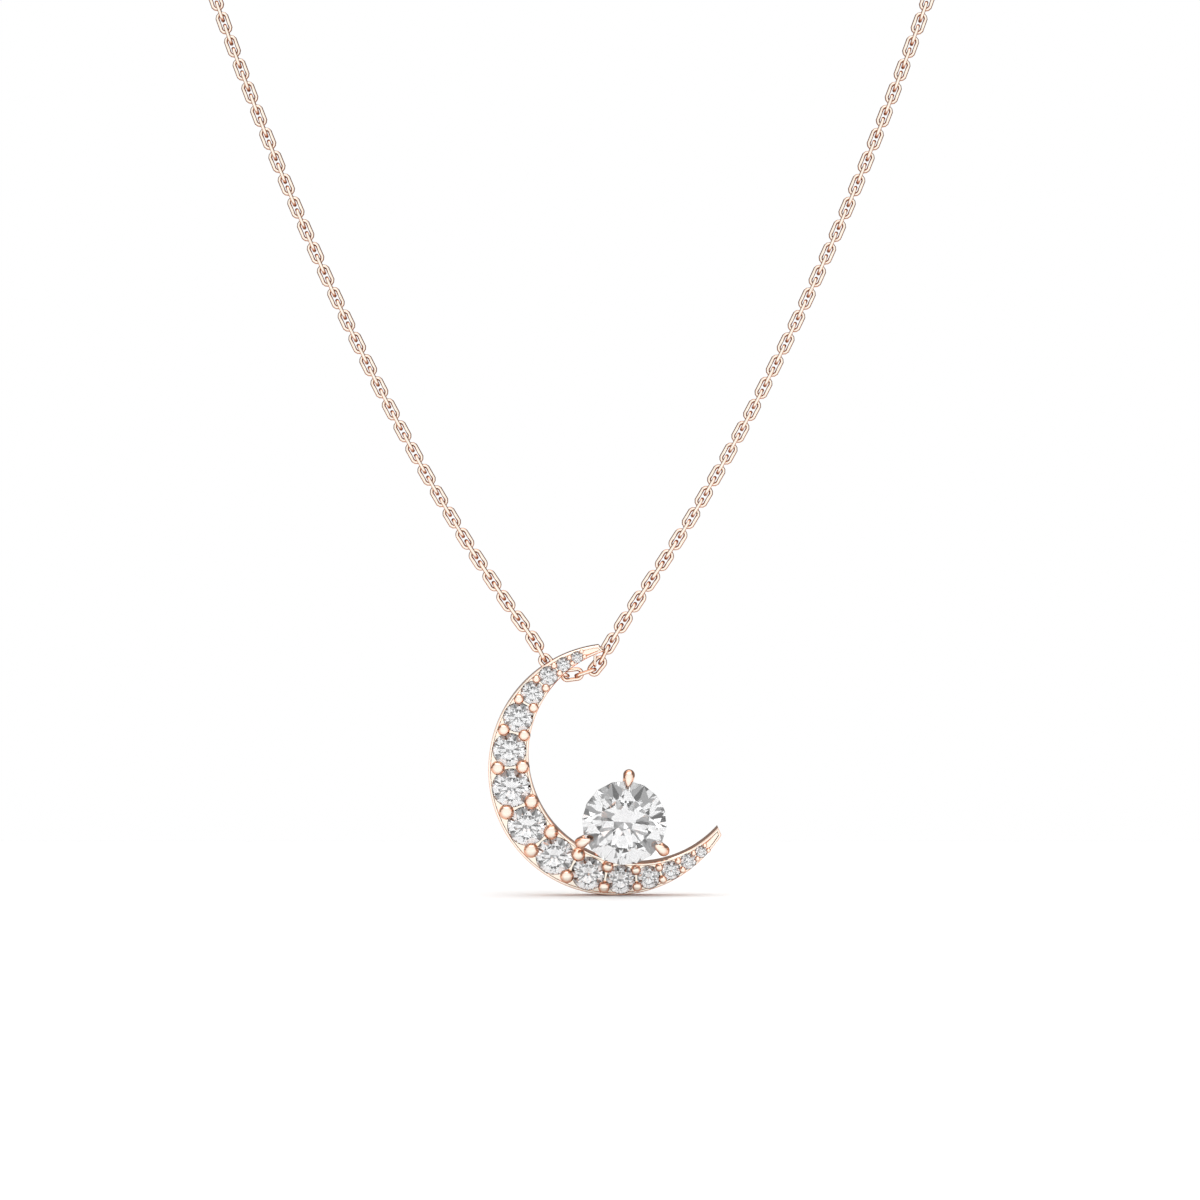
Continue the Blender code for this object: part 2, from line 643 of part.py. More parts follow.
for side, degrees in PRONG_ANGLES.items():
    prong_name = f"prong_{side}"
    on_pendant(finish(prong_name, prong_mesh(prong_name, degrees), ROSE_GOLD, 0.12, 1.0))

base_y = CRESCENT_THICKNESS - BASE_RING_WIRE * 0.5 - 0.10 * MM
base_mesh = ring_mesh("base_ring", BASE_RING_RADIUS, BASE_RING_WIRE, (0.0, 1.0, 0.0))
base_mesh.transform(Matrix.Translation(head_axis + Vector((0.0, base_y, 0.0))))
on_pendant(finish("base_ring", base_mesh, ROSE_GOLD, 0.15, 1.0))


def bridge_mesh(name, degrees):
    # A short bar from the base ring to the inside of the crescent.
    inner_centre = on_circle(INNER_SHIFT, HORN_AXIS)
    way = on_circle(1.0, degrees)
    start = BASE_RING_RADIUS + BASE_RING_WIRE / 2.0 + TOUCH_GAP
    offset = Vector((head_axis.x, head_axis.z)) - inner_centre
    half_b = offset.dot(way)
    wall = -half_b + math.sqrt(half_b ** 2 - offset.length_squared + INNER_RADIUS ** 2)
    end = wall - 0.06 * MM
    return wire_mesh(name, [head_point(start, degrees, base_y), head_point(end, degrees, base_y)],
                     min(BRIDGE_DIAMETER, CRESCENT_THICKNESS - 0.2 * MM))


for side, degrees in BRIDGE_ANGLES.items():
    bridge_name = f"head_bridge_{side}"
    on_pendant(finish(bridge_name, bridge_mesh(bridge_name, degrees), ROSE_GOLD, 0.15, 1.0))


# ------------------------------------------------------------------ hidden bail and tip loop

def bail_mesh(name):
    # An arch soldered to the crescent's back, square to the chain that runs through it.
    chain_way = along(LEFT_LINE, LINK_PITCH * 1.2)[1]
    across = Vector((-chain_way.z, 0.0, chain_way.x))
    if across.z < 0.0:
        across = -across
    back = Vector((0.0, 1.0, 0.0))
    foot = CRESCENT_THICKNESS + TOUCH_GAP
    middle = Vector((bail_drawn.x, 0.0, bail_drawn.z))
    points = [middle + across * bail_radius + back * foot]
    for step in range(13):
        angle = math.pi * step / 12
        points.append(middle + across * bail_radius * math.cos(angle)
                      + back * (bail_back + bail_radius * math.sin(angle)))
    points.append(middle - across * bail_radius + back * foot)
    return wire_mesh(name, points, BAIL_WIRE)


def tip_loop_mesh(name):
    # A small bent loop from the back of the polished tip down round one link's side.
    hold = Vector((TIP_LOOP_PLACE[0] - PENDANT_CENTRE[0], bail_back, TIP_LOOP_PLACE[1] - PENDANT_CENTRE[1]))
    back = CRESCENT_THICKNESS + TOUCH_GAP
    inner_centre = on_circle(INNER_SHIFT, HORN_AXIS)
    band_top = math.sqrt(OUTER_RADIUS ** 2 - hold.x ** 2)
    band_low = inner_centre.y + math.sqrt(INNER_RADIUS ** 2 - (hold.x - inner_centre.x) ** 2)
    band_middle = (band_top + band_low) / 2.0
    upper = Vector((hold.x, back, band_middle + TIP_LOOP_FEET / 2.0))
    lower = Vector((hold.x, back, band_middle - TIP_LOOP_FEET / 2.0))
    way = (hold - (upper + lower) / 2.0).normalized()
    across = Vector((0.0, -way.z, way.y))
    if across.z < 0.0:
        across = -across
    points = [upper]
    for step in range(9):
        angle = math.pi * step / 8
        points.append(hold + across * TIP_LOOP_RADIUS * math.cos(angle) + way * TIP_LOOP_RADIUS * math.sin(angle))
    points.append(lower)
    return wire_mesh(name, points, TIP_LOOP_WIRE)


on_pendant(finish("hidden_bail", bail_mesh("hidden_bail"), ROSE_GOLD, 0.15, 1.0))
on_pendant(finish("tip_loop", tip_loop_mesh("tip_loop"), ROSE_GOLD, 0.15, 1.0))


# ------------------------------------------------------------------ clasp

# Clasp pieces are drawn about the nape's middle: the eye towards +X, the hook towards -X, its
# mouth and trigger on top, the plate's faces at y = -CLASP_THICKNESS / 2 and + the same.
clasp_pivot = pivot("clasp_pivot", NAPE_MIDDLE)


def centred_plate(name, outline, thickness, chamfer=0.0, holes=()):
    mesh = plate_mesh(name, outline, thickness, chamfer, holes)
    mesh.transform(Matrix.Translation((0.0, -thickness / 2.0, 0.0)))
    return mesh


hollow_radius = CLASP_HOOK_RADIUS - CLASP_WALL
slot_width = TRIGGER_THICKNESS + 2 * PLAY
clasp_outline = capsule(CLASP_HOOK_X, CLASP_HOOK_RADIUS, CLASP_EYE_X, CLASP_EYE_RADIUS, 14)
hollow = capsule(CLASP_HOOK_X, hollow_radius, CLASP_NECK_X, hollow_radius * 0.70, 8)
eye_hole = circle(CLASP_RING_WIRE / 2.0 + 0.22 * MM, 12, (CLASP_EYE_X, 0.0))
pin_hole = circle(PIN_DIAMETER / 2.0 + PLAY / 2.0, 12, TRIGGER_PIVOT)

clasp_body = finish("clasp_body", centred_plate("clasp_body", clasp_outline, CLASP_THICKNESS, 0.22 * MM),
                    ROSE_GOLD, 0.16, 1.0)
for hole_name, hole in (("clasp_hollow", hollow), ("clasp_eye", eye_hole), ("clasp_pin_hole", pin_hole)):
    cut(clasp_body, new_object(hole_name, centred_plate(hole_name, hole, CLASP_THICKNESS * 2), cutters))
mouth_left = CLASP_HOOK_X + 0.10 * MM
mouth_right = CLASP_NECK_X + 0.30 * MM
mouth = [(mouth_left, 0.55 * MM), (mouth_right, 0.20 * MM), (mouth_right, 3.0 * MM), (mouth_left - 0.35 * MM, 3.0 * MM)]
slot = [(-0.60 * MM, 0.20 * MM), (CLASP_NECK_X + 0.20 * MM, -0.60 * MM), (2.55 * MM, -0.60 * MM), (2.55 * MM, 3.0 * MM), (-0.60 * MM, 3.0 * MM)]
flats = [(CLASP_EYE_X - 1.25 * MM, -3.0 * MM), (CLASP_EYE_X + 2.0 * MM, -3.0 * MM),
         (CLASP_EYE_X + 2.0 * MM, 3.0 * MM), (CLASP_EYE_X - 0.85 * MM, 3.0 * MM)]
flat_cutter = plate_mesh("clasp_flats", flats, CLASP_THICKNESS)
flat_pair = joined("clasp_flats", [(flat_cutter, (0.0, CLASP_EYE_THICKNESS / 2.0, 0.0)),
                                   (flat_cutter, (0.0, -CLASP_EYE_THICKNESS / 2.0 - CLASP_THICKNESS, 0.0))])
cut(clasp_body, new_object("clasp_flats", flat_pair, cutters))
cut(clasp_body, new_object("clasp_mouth", centred_plate("clasp_mouth", mouth, CLASP_THICKNESS * 2), cutters))
cut(clasp_body, new_object("clasp_slot", centred_plate("clasp_slot", slot, slot_width), cutters))
clasp_body_mesh = evaluated_mesh(clasp_body, "clasp_body")
clasp_body = finish("clasp_body", clasp_body_mesh, ROSE_GOLD, 0.16, 1.0)
clasp_body.parent = clasp_pivot

# The trigger: a tongue that shuts the mouth, a hub on the pin and a thumb lug.
trigger_pivot = pivot("trigger_pivot", (TRIGGER_PIVOT[0], 0.0, TRIGGER_PIVOT[1]), clasp_pivot)
hub = 0.62 * MM
tongue_tip = Vector((mouth_left - TRIGGER_PIVOT[0] + PLAY, 1.05 * MM))
trigger_outline = [(hub * 0.9, -0.35 * MM), (hub, 0.25 * MM), (0.35 * MM, 0.95 * MM), (0.10 * MM, 1.95 * MM),
                   (-0.45 * MM, 2.15 * MM), (-0.85 * MM, 1.85 * MM), (-0.75 * MM, 1.15 * MM),
                   (-1.6 * MM, 1.12 * MM), tuple(tongue_tip), (tongue_tip.x - 0.02 * MM, 0.50 * MM),
                   (-2.3 * MM, 0.42 * MM), (-1.1 * MM, 0.10 * MM), (-0.45 * MM, -0.45 * MM), (0.15 * MM, -0.62 * MM)]
trigger = finish("clasp_trigger",
                 centred_plate("clasp_trigger", trigger_outline, TRIGGER_THICKNESS, 0.06 * MM,
                               (circle(PIN_DIAMETER / 2.0 + PLAY / 2.0, 12),)),
                 ROSE_GOLD, 0.16, 1.0)
trigger.parent = trigger_pivot

pin = bmesh.new()
bmesh.ops.create_cone(pin, cap_ends=True, segments=16, radius1=PIN_DIAMETER / 2.0, radius2=PIN_DIAMETER / 2.0,
                      depth=CLASP_THICKNESS, matrix=Matrix.Rotation(math.radians(90.0), 4, "X"))
clasp_pin = finish("clasp_pin", mesh_from(pin, "clasp_pin"), STEEL, 0.25, 1.0)
clasp_pin.parent = clasp_pivot
clasp_pin.location = (TRIGGER_PIVOT[0], 0.0, TRIGGER_PIVOT[1])

# A bent leaf of spring wire under the hub, in the slot.
spring_points = [(2.35 * MM, 0.30 * MM), (2.38 * MM, -0.10 * MM), (2.20 * MM, -0.36 * MM), (1.85 * MM, -0.44 * MM),
                 (1.35 * MM, -0.40 * MM), (0.90 * MM, -0.28 * MM), (0.72 * MM, -0.16 * MM)]
spring = finish("clasp_spring", wire_mesh("clasp_spring", [(x, 0.0, z) for x, z in spring_points], SPRING_WIRE),
                STEEL, 0.25, 1.0)
spring.parent = clasp_pivot

clasp_ring = finish("clasp_ring", ring_mesh("clasp_ring", CLASP_RING_RADIUS, CLASP_RING_WIRE, (0.0, 0.0, 1.0)),
                    ROSE_GOLD, 0.16, 1.0)
clasp_ring.location = clasp_ring_middle
catch_ring = finish("catch_ring", ring_mesh("catch_ring", CATCH_RING_RADIUS, CATCH_RING_WIRE, (0.0, 0.0, 1.0)),
                    ROSE_GOLD, 0.16, 1.0)
catch_ring.location = catch_ring_middle

# The plain tag hangs from the catch ring; its hole is round the ring's wire.
tag_hole = CATCH_RING_WIRE / 2.0 + 0.10 * MM
tag_spot = on_circle(CATCH_RING_RADIUS, TAG_ANGLE, (catch_ring_x, 0.0))
tag_pivot = pivot("tag_pivot", NAPE_MIDDLE + Vector((tag_spot.x, tag_spot.y, 0.0)))
tag_pivot.rotation_euler.z = math.radians(TAG_ANGLE - 90.0)
tag_top = tag_hole - CATCH_RING_WIRE / 2.0
tag_half = TAG_WIDTH / 2.0
tag_straight = TAG_LENGTH - TAG_WIDTH / 2.0 - 0.95 * MM
tag_outline = (arc(0.95 * MM, 0.0, 180.0, 10)
               + arc(tag_half, 180.0, 360.0, 14, (0.0, -tag_straight)))
tag_mesh = plate_mesh("tag", tag_outline, TAG_THICKNESS, 0.05 * MM, (circle(tag_hole, 12),))
tag_mesh.transform(Matrix.Rotation(math.radians(90.0), 4, "Z") @ Matrix.Translation((0.0, -TAG_THICKNESS / 2.0, 0.0)))
tag = finish("tag", tag_mesh, ROSE_GOLD, 0.15, 1.0)
tag.parent = tag_pivot
tag.location = (0.0, 0.0, -tag_top)
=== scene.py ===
import math

import bpy
from mathutils import Matrix, Vector


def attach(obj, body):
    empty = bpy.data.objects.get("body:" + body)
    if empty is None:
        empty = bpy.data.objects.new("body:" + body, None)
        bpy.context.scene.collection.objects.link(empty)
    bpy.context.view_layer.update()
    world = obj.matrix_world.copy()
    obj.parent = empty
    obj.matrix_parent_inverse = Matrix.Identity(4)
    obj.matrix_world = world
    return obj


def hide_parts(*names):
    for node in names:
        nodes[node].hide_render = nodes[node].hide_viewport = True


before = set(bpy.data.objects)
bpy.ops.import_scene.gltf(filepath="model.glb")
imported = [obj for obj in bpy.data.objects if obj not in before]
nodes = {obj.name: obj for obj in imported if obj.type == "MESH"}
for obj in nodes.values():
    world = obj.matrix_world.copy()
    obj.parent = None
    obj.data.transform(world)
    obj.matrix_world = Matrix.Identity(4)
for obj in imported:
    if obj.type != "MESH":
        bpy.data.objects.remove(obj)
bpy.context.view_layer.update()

mm = 0.001
mergeDistance = 0.0005 * mm
editTool = bpy.context.scene.tool_settings


# small helpers for objects

def only(piece):
    bpy.ops.object.select_all(action="DESELECT")
    piece.select_set(True)
    bpy.context.view_layer.objects.active = piece


def settle(piece, place=Matrix.Identity(4)):
    # the piece's place goes into its mesh, doubles are merged and faces turned outwards
    only(piece)
    piece.matrix_world = place @ piece.matrix_world
    bpy.ops.object.transform_apply(location=True, rotation=True, scale=True)
    bpy.ops.object.mode_set(mode="EDIT")
    bpy.ops.mesh.select_all(action="SELECT")
    bpy.ops.mesh.remove_doubles(threshold=mergeDistance)
    bpy.ops.mesh.normals_make_consistent(inside=False)
    bpy.ops.object.mode_set(mode="OBJECT")
    return piece


def copyOf(piece, place=Matrix.Identity(4)):
    twin = bpy.data.objects.new(piece.name, piece.data.copy())
    bpy.context.scene.collection.objects.link(twin)
    twin.matrix_world = place
    return twin


def joined(name, group):
    bpy.ops.object.select_all(action="DESELECT")
    for piece in group:
        piece.select_set(True)
    bpy.context.view_layer.objects.active = group[0]
    if len(group) > 1:
        bpy.ops.object.join()
    made = bpy.context.view_layer.objects.active
    made.name = name
    bpy.ops.object.transform_apply(location=True, rotation=True, scale=True)
    return made


def applied(piece, kind, **settings):
    only(piece)
    change = piece.modifiers.new(kind.title(), kind)
    for name, value in settings.items():
        setattr(change, name, value)
    bpy.ops.object.modifier_apply(modifier=change.name)


def smooth(piece, degrees):
    only(piece)
    bpy.ops.object.shade_smooth_by_angle(angle=math.radians(degrees))


def coat(piece, finish):
    piece.data.materials.clear()
    piece.data.materials.append(finish)


def dress(piece, finish, body, stands=()):
    # stands: the names of the plain nodes that the piece stands in for
    coat(piece, finish)
    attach(piece, body)
    if stands:
        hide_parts(*stands)


def onCircle(radius, degrees, centre=(0.0, 0.0)):
    angle = math.radians(degrees)
    return Vector((centre[0] + radius * math.cos(angle), centre[1] + radius * math.sin(angle)))


def arc(radius, first, last, steps, centre=(0.0, 0.0)):
    return [onCircle(radius, first + (last - first) * step / steps, centre) for step in range(steps + 1)]


def heading(way):
    return math.atan2(way.x, way.z)


def sweptBar(name, route, sides=20):
    # a bar along (x, z, radius) stations: a disc is extruded from each to the next, turned and resized
    points = [Vector((x, 0.0, z)) for x, z, _ in route]
    now = heading(points[1] - points[0])
    bpy.ops.mesh.primitive_circle_add(vertices=sides, radius=route[0][2], fill_type="NGON",
                                      location=points[0], rotation=(0.0, now, 0.0))
    bar = bpy.context.object
    bar.name = name
    bpy.ops.object.transform_apply(location=True, rotation=True, scale=True)
    bpy.ops.object.mode_set(mode="EDIT")
    bpy.ops.mesh.select_all(action="SELECT")
    for index in range(1, len(points)):
        step = points[index] - points[index - 1]
        bpy.ops.mesh.extrude_region_move(TRANSFORM_OT_translate={"value": step})
        onward = points[index + 1] - points[index] if index + 1 < len(points) else step
        new = heading(step.normalized() + onward.normalized())
        turn = (new - now + math.pi) % (2.0 * math.pi) - math.pi
        if abs(turn) > 1e-4:
            bpy.ops.transform.rotate(value=-turn, orient_axis="Y", center_override=points[index])
        size = route[index][2] / route[index - 1][2]
        if abs(size - 1.0) > 1e-6:
            bpy.ops.transform.resize(value=(size, size, size), center_override=points[index])
        now = new
    bpy.ops.object.mode_set(mode="OBJECT")
    return bar


def flatPlate(name, outline, thickness, chamfer):
    # a chamfered plate in X and Z, its front at y = 0
    curve = bpy.data.curves.new(name, "CURVE")
    curve.dimensions = "2D"
    curve.fill_mode = "BOTH"
    curve.extrude = thickness / 2.0 - chamfer
    curve.bevel_depth = chamfer
    curve.bevel_resolution = 0
    curve.offset = -chamfer
    spline = curve.splines.new("POLY")
    spline.points.add(len(outline) - 1)
    for index, (x, z) in enumerate(outline):
        spline.points[index].co = (x, z, 0.0, 1.0)
    spline.use_cyclic_u = True
    plate = bpy.data.objects.new(name, curve)
    bpy.context.scene.collection.objects.link(plate)
    only(plate)
    bpy.ops.object.convert(target="MESH")
    plate = bpy.context.object
    stand = Matrix.Translation((0.0, thickness / 2.0, 0.0)) @ Matrix.Rotation(math.radians(90.0), 4, "X")
    return settle(plate, stand)


# shader maths

class Sock:
    # an output of a shader node; sums and products of it add the Math nodes
    def __init__(self, tree, socket=None):
        self.tree, self.socket = tree, socket

    def add(self, kind, settings=None, values=None, out=0):
        node = self.tree.nodes.new("ShaderNode" + kind)
        for name, value in (settings or {}).items():
            if name == "stops":
                while len(node.color_ramp.elements) < len(value):
                    node.color_ramp.elements.new(0.5)
                for element, (position, colour) in zip(node.color_ramp.elements, value):
                    element.position = position
                    element.color = (*colour, 1.0)
            else:
                setattr(node, name, value)
        for name, value in (values or {}).items():
            if isinstance(value, Sock):
                self.tree.links.new(value.socket, node.inputs[name])
            else:
                node.inputs[name].default_value = value
        return Sock(self.tree, node.outputs[out])

    def maths(self, operation, first, second=0.0):
        return self.add("Math", {"operation": operation}, {0: first, 1: second})

    def __add__(self, other): return self.maths("ADD", self, other)
    def __radd__(self, other): return self.maths("ADD", other, self)
    def __sub__(self, other): return self.maths("SUBTRACT", self, other)
    def __rsub__(self, other): return self.maths("SUBTRACT", other, self)
    def __mul__(self, other): return self.maths("MULTIPLY", self, other)
    def __rmul__(self, other): return self.maths("MULTIPLY", other, self)

    def above(self, edge, soft):
        # 0 below the edge, 1 above it, soft between
        return self.add("MapRange", {"interpolation_type": "SMOOTHSTEP"},
                        {"Value": self, "From Min": edge - soft, "From Max": edge + soft})


def newFinish(name):
    finish = bpy.data.materials.new(name)
    finish.use_nodes = True
    shader = finish.node_tree.nodes["Principled BSDF"]
    return finish, shader, Sock(finish.node_tree)


def feed(shader, tree, **links):
    for name, sock in links.items():
        tree.links.new(sock.socket, shader.inputs[name.replace("_", " ")])


def roseGold(name, look):
    # rose gold with a painted highlight on faces that look forwards or back and painted shade on its sides,
    # with a faint cloudiness, polishing haze and hairlines
    finish, shader, start = newFinish(name)
    shader.inputs["Metallic"].default_value = 1.0
    shader.inputs["Specular Tint"].default_value = (*look["edge"], 1.0)
    place = start.add("TexCoord", out="Object")
    cloud = place.add("TexNoise", {}, {"Vector": place, "Scale": look["cloudScale"], "Detail": 2.0})
    haze = place.add("TexNoise", {}, {"Vector": place, "Scale": look["hazeScale"], "Detail": 4.0})
    drawn = place.add("Mapping", {}, {"Vector": place, "Scale": look["hairStretch"]})
    hair = place.add("TexNoise", {}, {"Vector": drawn, "Scale": look["hairScale"], "Detail": 3.0})
    facing = place.add("TexCoord", out="Normal")
    lean = place.add("SeparateXYZ", {}, {0: facing}, out=1)
    # painted light: faces turned forwards or back take the paler colour as a painted highlight, the sides
    # take the deeper colour as painted shade
    highlightMask = lean.maths("ABSOLUTE", lean).above(look["turn"], look["turnSoft"])
    share = highlightMask * (look["cloudBase"] + cloud * look["cloudShare"])
    tint = place.add("Mix", {"data_type": "RGBA"},
                     {"Factor": share, "A": (*look["shadedTint"], 1.0), "B": (*look["highlitTint"], 1.0)}, out="Result")
    cloudy = haze.above(look["hazeEdge"], look["hazeSoft"])
    rough = look["polish"] + cloudy * look["hazeShare"] + hair * look["hairShare"]
    height = hair * look["hairHeight"] + haze * look["hazeHeight"]
    bump = place.add("Bump", {}, {"Height": height, "Strength": look["bump"],
                                  "Distance": look["bumpDepth"]})
    feed(shader, finish.node_tree, Base_Color=tint, Roughness=rough, Normal=bump)
    return finish


# pale: rose gold with a painted highlight, for faces turned forwards or back; deep: rose gold with painted
# shade, for the sides
goldLook = {
    "highlitTint": (0.945, 0.875, 0.765), "shadedTint": (0.80, 0.46, 0.33), "edge": (1.0, 0.80, 0.68),
    "turn": 0.78, "turnSoft": 0.20,          # where the painted highlight on faces looking forwards or back begins
    "cloudScale": 420.0, "cloudBase": 0.94, "cloudShare": 0.12,
    "hazeScale": 2600.0, "hazeEdge": 0.55, "hazeSoft": 0.25, "hazeShare": 0.05, "hazeHeight": 0.4,
    "hairScale": 5200.0, "hairStretch": (1.0, 1.0, 0.12), "hairShare": 0.05, "hairHeight": 0.6,
    "polish": 0.035, "bump": 0.10, "bumpDepth": 0.002 * mm,
}
# the chain's deep colour is a darker painted shade on the links' sides
chainLook = {
    **goldLook, "shadedTint": (0.52, 0.25, 0.16), "turn": 0.82, "turnSoft": 0.12,
    "polish": 0.05, "hairScale": 9000.0,
}
# the clasp's and tag's paler colour, rosier: a painted highlight on their broad faces
claspLook = {
    **goldLook, "highlitTint": (0.95, 0.76, 0.62),
    "polish": 0.09, "hazeShare": 0.09, "hairShare": 0.10, "bump": 0.22,
}
tagLook = {
    **goldLook, "highlitTint": (0.95, 0.76, 0.62), "polish": 0.14, "bump": 0.45,
    "hairShare": 0.22, "hairStretch": (0.10, 0.10, 1.0), "hairScale": 14000.0,
}
pendantGold = roseGold("pendant_rose_gold", goldLook)
chainGold = roseGold("chain_rose_gold", chainLook)
claspGold = roseGold("clasp_rose_gold", claspLook)
tagGold = roseGold("tag_brushed_gold", tagLook)


steelLook = {
    "grainScale": 9000.0, "stops": [(0.3, (0.50, 0.51, 0.53)), (0.7, (0.66, 0.66, 0.67))],
    "polish": 0.20, "grainShare": 0.15,
}


def springSteel(name, look):
    finish, shader, start = newFinish(name)
    shader.inputs["Metallic"].default_value = 1.0
    place = start.add("TexCoord", out="Object")
    grain = place.add("TexNoise", {}, {"Vector": place, "Scale": look["grainScale"], "Detail": 3.0})
    tint = place.add("ValToRGB", {"stops": look["stops"]}, {"Fac": grain})
    feed(shader, finish.node_tree, Base_Color=tint, Roughness=look["polish"] + grain * look["grainShare"])
    return finish


def cutStone(name, look):
    # a colourless brilliant: polished facets and a bruted girdle, which faces away from the stone's axis
    finish, shader, start = newFinish(name)
    shader.inputs["Transmission Weight"].default_value = 1.0
    shader.inputs["IOR"].default_value = look["ior"]
    facing = start.add("TexCoord", out="Normal")
    lean = facing.add("VectorMath", {"operation": "DOT_PRODUCT"},
                      {0: facing, 1: look["axis"]}, out="Value")
    girdle = 1.0 - lean.maths("ABSOLUTE", lean).above(look["girdleLean"], look["girdleSoft"])
    place = facing.add("TexCoord", out="Object")
    grain = place.add("TexNoise", {}, {"Vector": place, "Scale": look["grainScale"], "Detail": 2.0})
    tint = place.add("Mix", {"data_type": "RGBA"}, {"Factor": girdle, "A": (*look["body"], 1.0),
                                                    "B": (*look["girdle"], 1.0)}, out="Result")
    frosted = look["frost"] + grain * look["grainShare"]
    feed(shader, finish.node_tree, Base_Color=tint, Roughness=girdle * frosted)
    return finish


# the chain's line: two loaded strands in front, then over the sides of the neck and round the nape

line = {
    "loop": 457.0 * mm, "reach": 140.0 * mm, "scale": 37.5 * mm, "load": 45.7 * mm,
    "napeRise": 22.0 * mm, "napeLift": 24.0 * mm, "napeWidth": 33.0 * mm,
    "lowest": 0.96 * mm, "strandFrom": 8.0 * mm, "strandStep": 6.0 * mm,
    # (x, z) of the links beside the pendant, in millimetres from the lowest one
    "rightRun": [(0.05, 0.10), (1.00, 0.24), (1.96, 0.75), (3.02, 2.58)],
    "leftRun": [(0.05, 0.10), (-0.88, 0.30), (-1.85, 1.00), (-2.91, 2.76)],
}


def strandPoint(reach):
    # a hanging chain's curve, with the pendant's weight as an extra length of chain
    pulled = reach + line["load"]
    x = line["scale"] * (math.asinh(pulled / line["scale"]) - math.asinh(line["load"] / line["scale"]))
    z = math.hypot(line["scale"], pulled) - math.hypot(line["scale"], line["reach"] + line["load"])
    return Vector((x, 0.0, z))


lowestLink = strandPoint(0.0) + Vector((0.0, 0.0, line["lowest"]))


def napePoints(depth, side, steps=14):
    # from the side of the neck to the middle of the nape
    start = strandPoint(line["reach"])
    climb = (start - strandPoint(line["reach"] - mm)).normalized()
    corners = [start, start + climb * line["napeLift"],
               Vector((line["napeWidth"], depth, line["napeRise"])), Vector((0.0, depth, line["napeRise"]))]
    points = []
    for step in range(1, steps + 1):
        t = step / steps
        shares = ((1 - t) ** 3, 3 * t * (1 - t) ** 2, 3 * t * t * (1 - t), t ** 3)
        point = sum((corner * share for corner, share in zip(corners, shares)), Vector())
        points.append(Vector((side * point.x, point.y, point.z)))
    return points


def through(knots, steps=12):
    # a smooth path through the knots
    path = [knots[0]]
    for index in range(len(knots) - 1):
        a, b = knots[index], knots[index + 1]
        before, after = knots[max(index - 1, 0)], knots[min(index + 2, len(knots) - 1)]
        span = (b - a).length
        slopeA = (b - before) / max((a - before).length + span, 1e-7) * span
        slopeB = (after - a) / max((after - b).length + span, 1e-7) * span
        for step in range(1, steps + 1):
            t = step / steps
            path.append(a * (2 * t ** 3 - 3 * t ** 2 + 1) + slopeA * (t ** 3 - 2 * t ** 2 + t)
                        + b * (3 * t ** 2 - 2 * t ** 3) + slopeB * (t ** 3 - t ** 2))
    return path


def halfLine(run, side, depth):
    near = [lowestLink + Vector((x * mm, 0.0, z * mm)) for x, z in run]
    first, span = line["strandFrom"], line["reach"] - line["strandFrom"]
    count = round(span / line["strandStep"])
    strand = [strandPoint(first + span * step / count) for step in range(count + 1)]
    strand = [Vector((side * point.x, 0.0, point.z)) for point in strand]
    return through(near + strand + napePoints(depth, side))


def lengthOf(path):
    return sum((b - a).length for a, b in zip(path, path[1:]))


def napeDepth():
    # how far back the nape lies for the closed loop to have its length
    low, high = 10.0 * mm, 150.0 * mm
    for _ in range(40):
        middle = (low + high) / 2.0
        whole = (lengthOf(halfLine(line["rightRun"], 1, middle))
                 + lengthOf(halfLine(line["leftRun"], -1, middle)))
        low, high = (middle, high) if whole < line["loop"] else (low, middle)
    return (low + high) / 2.0


depth = napeDepth()
napeMiddle = Vector((0.0, depth, line["napeRise"]))
paths = {"right": halfLine(line["rightRun"], 1, depth), "left": halfLine(line["leftRun"], -1, depth)}


def along(path, distance):
    left = distance
    for a, b in zip(path, path[1:]):
        step = (b - a).length
        if left <= step:
            return a.lerp(b, left / step), (b - a).normalized()
        left -= step
    return path[-1], (path[-1] - path[-2]).normalized()


def distanceWhere(path, test):
    # how far along a path the test is first met, to a hundredth of a millimetre
    stride = 0.5 * mm
    for index in range(int(lengthOf(path) / stride)):
        if test(along(path, index * stride)[0]):
            low, high = (index - 1) * stride, index * stride
            for _ in range(8):
                middle = (low + high) / 2.0
                low, high = (low, middle) if test(along(path, middle)[0]) else (middle, high)
            return high
    return lengthOf(path)


# the cable chain, link by link

link = {
    "length": 1.81 * mm, "width": 1.06 * mm, "wire": 0.31 * mm,
    "nearPitch": 1.04 * mm, "pitch": 0.96 * mm, "nearCount": 3, "fineCount": 14,
    "fineFaces": (28, 12), "coarseFaces": (12, 6),    # round the oval and round the wire
    "claspHold": 1.49 * mm, "catchHold": 1.93 * mm,   # last link's middle from its ring's middle
}
rings = {
    "claspX": 5.05 * mm, "claspRadius": 1.15 * mm, "claspWire": 0.40 * mm, "claspSeam": 250.0,
    "catchX": -4.4995 * mm, "catchRadius": 1.60 * mm, "catchWire": 0.45 * mm, "catchSeam": 60.0,
    "gap": 2.5,      # the seam's, in degrees
}


